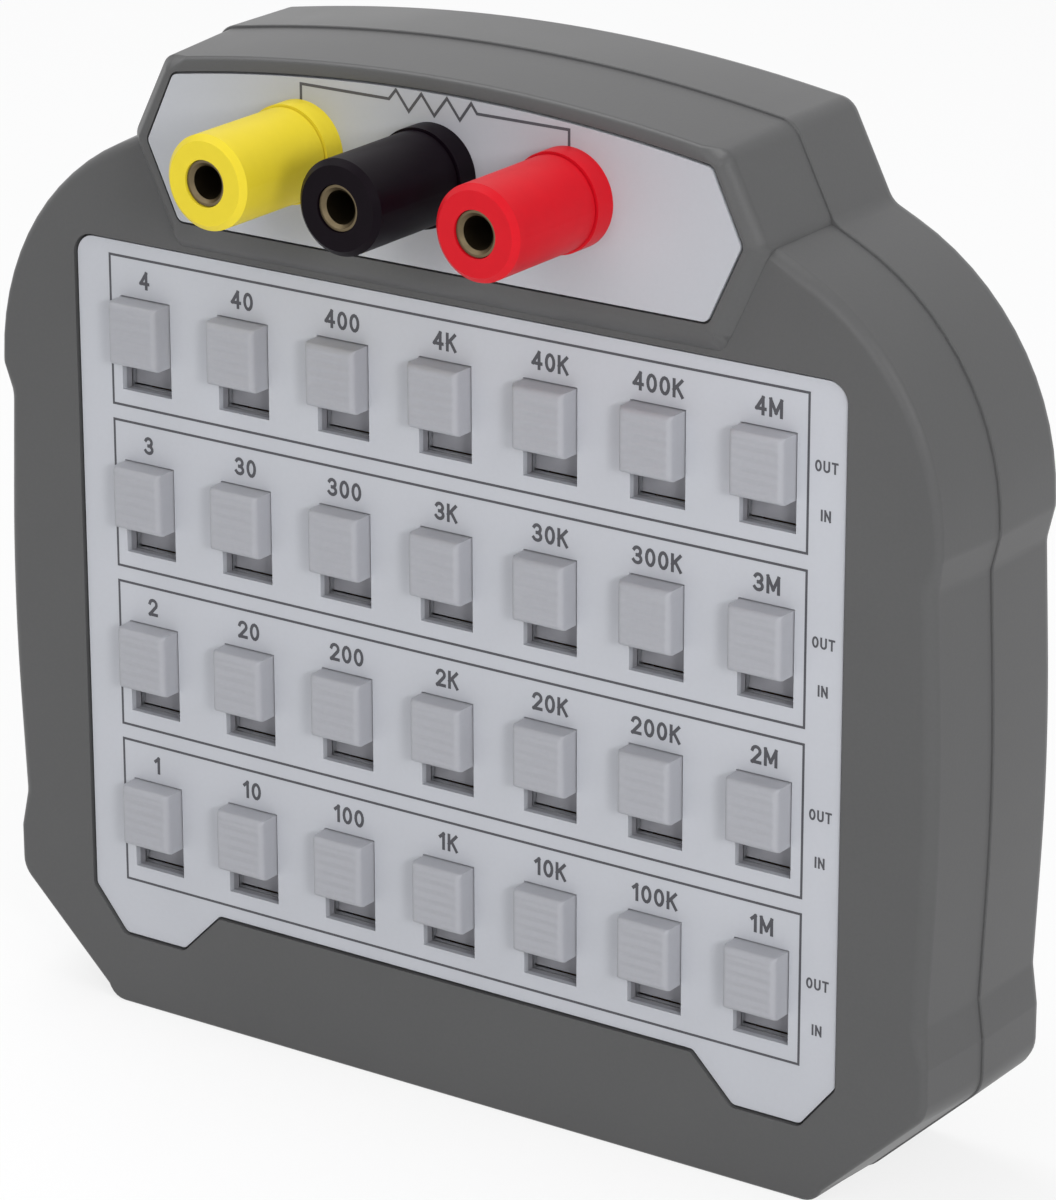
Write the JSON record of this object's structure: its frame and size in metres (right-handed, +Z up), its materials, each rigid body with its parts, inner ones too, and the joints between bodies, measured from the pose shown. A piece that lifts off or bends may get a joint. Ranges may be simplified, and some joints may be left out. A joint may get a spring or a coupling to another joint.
{
  "type": "decade resistance box",
  "caption": "Hand-held decade resistance box with rows of slide switches on a pale plate and coloured binding posts on a raised head",
  "frame": {"origin": "middle of the flat underside of the case", "axes": "+X to the right seen from the front, +Y from the switch plate towards the back, +Z up"},
  "size_m": [0.1372, 0.0462, 0.1301],
  "materials": {
    "case": "fine moulded grain, mid grey",
    "plate": "light grey satin paint on aluminium sheet",
    "knob": "moulded grey plastic, fine cross grooves",
    "yellow": "glossy moulded yellow",
    "black": "glossy moulded black",
    "red": "glossy moulded red",
    "nickel": "turned and nickel plated",
    "brass": "turned brass",
    "board": "green solder mask on glass laminate",
    "tin": "tinned sheet steel",
    "phenolic": "brown laminate",
    "contact": "tinned brass",
    "resistor": "lacquered metal-film body",
    "steel": "zinc plated",
    "black_steel": "black oxide",
    "washer": "natural nylon",
    "wire_yellow": "insulated hook-up wire",
    "wire_black": "insulated hook-up wire",
    "wire_red": "insulated hook-up wire"
  },
  "bodies": {
    "case": {"front_case": "case", "rear_case": "case", "switch_plate": "plate", "head_plate": "plate", "circuit_board": "board", "switch_frames": "tin", "switch_bases": "phenolic", "switch_terminals": "contact", "resistors": "resistor", "board_screws": "steel", "case_screws": "black_steel", "post_washers": "washer", "post_nuts": "steel", "post_lugs": "contact", "collar_yellow": "yellow", "stud_yellow": "nickel", "wire_yellow": "wire_yellow", "collar_black": "black", "stud_black": "nickel", "wire_black": "wire_black", "collar_red": "red", "stud_red": "nickel", "wire_red": "wire_red"},
    "slider_1_body": {"slider_1": "knob"},
    "slider_10_body": {"slider_10": "knob"},
    "slider_100_body": {"slider_100": "knob"},
    "slider_1k_body": {"slider_1k": "knob"},
    "slider_10k_body": {"slider_10k": "knob"},
    "slider_100k_body": {"slider_100k": "knob"},
    "slider_1m_body": {"slider_1m": "knob"},
    "slider_2_body": {"slider_2": "knob"},
    "slider_20_body": {"slider_20": "knob"},
    "slider_200_body": {"slider_200": "knob"},
    "slider_2k_body": {"slider_2k": "knob"},
    "slider_20k_body": {"slider_20k": "knob"},
    "slider_200k_body": {"slider_200k": "knob"},
    "slider_2m_body": {"slider_2m": "knob"},
    "slider_3_body": {"slider_3": "knob"},
    "slider_30_body": {"slider_30": "knob"},
    "slider_300_body": {"slider_300": "knob"},
    "slider_3k_body": {"slider_3k": "knob"},
    "slider_30k_body": {"slider_30k": "knob"},
    "slider_300k_body": {"slider_300k": "knob"},
    "slider_3m_body": {"slider_3m": "knob"},
    "slider_4_body": {"slider_4": "knob"},
    "slider_40_body": {"slider_40": "knob"},
    "slider_400_body": {"slider_400": "knob"},
    "slider_4k_body": {"slider_4k": "knob"},
    "slider_40k_body": {"slider_40k": "knob"},
    "slider_400k_body": {"slider_400k": "knob"},
    "slider_4m_body": {"slider_4m": "knob"},
    "insert_yellow_body": {"insert_yellow": "brass"},
    "cap_yellow_body": {"cap_yellow": "yellow"},
    "insert_black_body": {"insert_black": "brass"},
    "cap_black_body": {"cap_black": "black"},
    "insert_red_body": {"insert_red": "brass"},
    "cap_red_body": {"cap_red": "red"}
  },
  "joints": [
    {"name": "slider_1_slide", "type": "slide", "parent": "case", "child": "slider_1_body", "axis": [0, 0, -1], "range_m": [0, 0.0038]},
    {"name": "slider_10_slide", "type": "slide", "parent": "case", "child": "slider_10_body", "axis": [0, 0, -1], "range_m": [0, 0.0038]},
    {"name": "slider_100_slide", "type": "slide", "parent": "case", "child": "slider_100_body", "axis": [0, 0, -1], "range_m": [0, 0.0038]},
    {"name": "slider_1k_slide", "type": "slide", "parent": "case", "child": "slider_1k_body", "axis": [0, 0, -1], "range_m": [0, 0.0038]},
    {"name": "slider_10k_slide", "type": "slide", "parent": "case", "child": "slider_10k_body", "axis": [0, 0, -1], "range_m": [0, 0.0038]},
    {"name": "slider_100k_slide", "type": "slide", "parent": "case", "child": "slider_100k_body", "axis": [0, 0, -1], "range_m": [0, 0.0038]},
    {"name": "slider_1m_slide", "type": "slide", "parent": "case", "child": "slider_1m_body", "axis": [0, 0, -1], "range_m": [0, 0.0038]},
    {"name": "slider_2_slide", "type": "slide", "parent": "case", "child": "slider_2_body", "axis": [0, 0, -1], "range_m": [0, 0.0038]},
    {"name": "slider_20_slide", "type": "slide", "parent": "case", "child": "slider_20_body", "axis": [0, 0, -1], "range_m": [0, 0.0038]},
    {"name": "slider_200_slide", "type": "slide", "parent": "case", "child": "slider_200_body", "axis": [0, 0, -1], "range_m": [0, 0.0038]},
    {"name": "slider_2k_slide", "type": "slide", "parent": "case", "child": "slider_2k_body", "axis": [0, 0, -1], "range_m": [0, 0.0038]},
    {"name": "slider_20k_slide", "type": "slide", "parent": "case", "child": "slider_20k_body", "axis": [0, 0, -1], "range_m": [0, 0.0038]},
    {"name": "slider_200k_slide", "type": "slide", "parent": "case", "child": "slider_200k_body", "axis": [0, 0, -1], "range_m": [0, 0.0038]},
    {"name": "slider_2m_slide", "type": "slide", "parent": "case", "child": "slider_2m_body", "axis": [0, 0, -1], "range_m": [0, 0.0038]},
    {"name": "slider_3_slide", "type": "slide", "parent": "case", "child": "slider_3_body", "axis": [0, 0, -1], "range_m": [0, 0.0038]},
    {"name": "slider_30_slide", "type": "slide", "parent": "case", "child": "slider_30_body", "axis": [0, 0, -1], "range_m": [0, 0.0038]},
    {"name": "slider_300_slide", "type": "slide", "parent": "case", "child": "slider_300_body", "axis": [0, 0, -1], "range_m": [0, 0.0038]},
    {"name": "slider_3k_slide", "type": "slide", "parent": "case", "child": "slider_3k_body", "axis": [0, 0, -1], "range_m": [0, 0.0038]},
    {"name": "slider_30k_slide", "type": "slide", "parent": "case", "child": "slider_30k_body", "axis": [0, 0, -1], "range_m": [0, 0.0038]},
    {"name": "slider_300k_slide", "type": "slide", "parent": "case", "child": "slider_300k_body", "axis": [0, 0, -1], "range_m": [0, 0.0038]},
    {"name": "slider_3m_slide", "type": "slide", "parent": "case", "child": "slider_3m_body", "axis": [0, 0, -1], "range_m": [0, 0.0038]},
    {"name": "slider_4_slide", "type": "slide", "parent": "case", "child": "slider_4_body", "axis": [0, 0, -1], "range_m": [0, 0.0038]},
    {"name": "slider_40_slide", "type": "slide", "parent": "case", "child": "slider_40_body", "axis": [0, 0, -1], "range_m": [0, 0.0038]},
    {"name": "slider_400_slide", "type": "slide", "parent": "case", "child": "slider_400_body", "axis": [0, 0, -1], "range_m": [0, 0.0038]},
    {"name": "slider_4k_slide", "type": "slide", "parent": "case", "child": "slider_4k_body", "axis": [0, 0, -1], "range_m": [0, 0.0038]},
    {"name": "slider_40k_slide", "type": "slide", "parent": "case", "child": "slider_40k_body", "axis": [0, 0, -1], "range_m": [0, 0.0038]},
    {"name": "slider_400k_slide", "type": "slide", "parent": "case", "child": "slider_400k_body", "axis": [0, 0, -1], "range_m": [0, 0.0038]},
    {"name": "slider_4m_slide", "type": "slide", "parent": "case", "child": "slider_4m_body", "axis": [0, 0, -1], "range_m": [0, 0.0038]},
    {"name": "post_yellow_rise", "type": "slide", "parent": "case", "child": "insert_yellow_body", "axis": [0, -1, 0], "range_m": [0, 0.004]},
    {"name": "post_yellow_turn", "type": "hinge", "parent": "insert_yellow_body", "child": "cap_yellow_body", "pos_m": [-0.0189, -0.0146, 0.1175], "axis": [0, -1, 0], "range_deg": [0, 1800]},
    {"name": "post_black_rise", "type": "slide", "parent": "case", "child": "insert_black_body", "axis": [0, -1, 0], "range_m": [0, 0.004]},
    {"name": "post_black_turn", "type": "hinge", "parent": "insert_black_body", "child": "cap_black_body", "pos_m": [0, -0.0146, 0.1175], "axis": [0, -1, 0], "range_deg": [0, 1800]},
    {"name": "post_red_rise", "type": "slide", "parent": "case", "child": "insert_red_body", "axis": [0, -1, 0], "range_m": [0, 0.004]},
    {"name": "post_red_turn", "type": "hinge", "parent": "insert_red_body", "child": "cap_red_body", "pos_m": [0.0189, -0.0146, 0.1175], "axis": [0, -1, 0], "range_deg": [0, 1800]}
  ],
  "couplings": [
    {"joint": "post_yellow_turn", "follows": "post_yellow_rise", "rad_per_m": 7854},
    {"joint": "post_black_turn", "follows": "post_black_rise", "rad_per_m": 7854},
    {"joint": "post_red_turn", "follows": "post_red_rise", "rad_per_m": 7854}
  ]
}
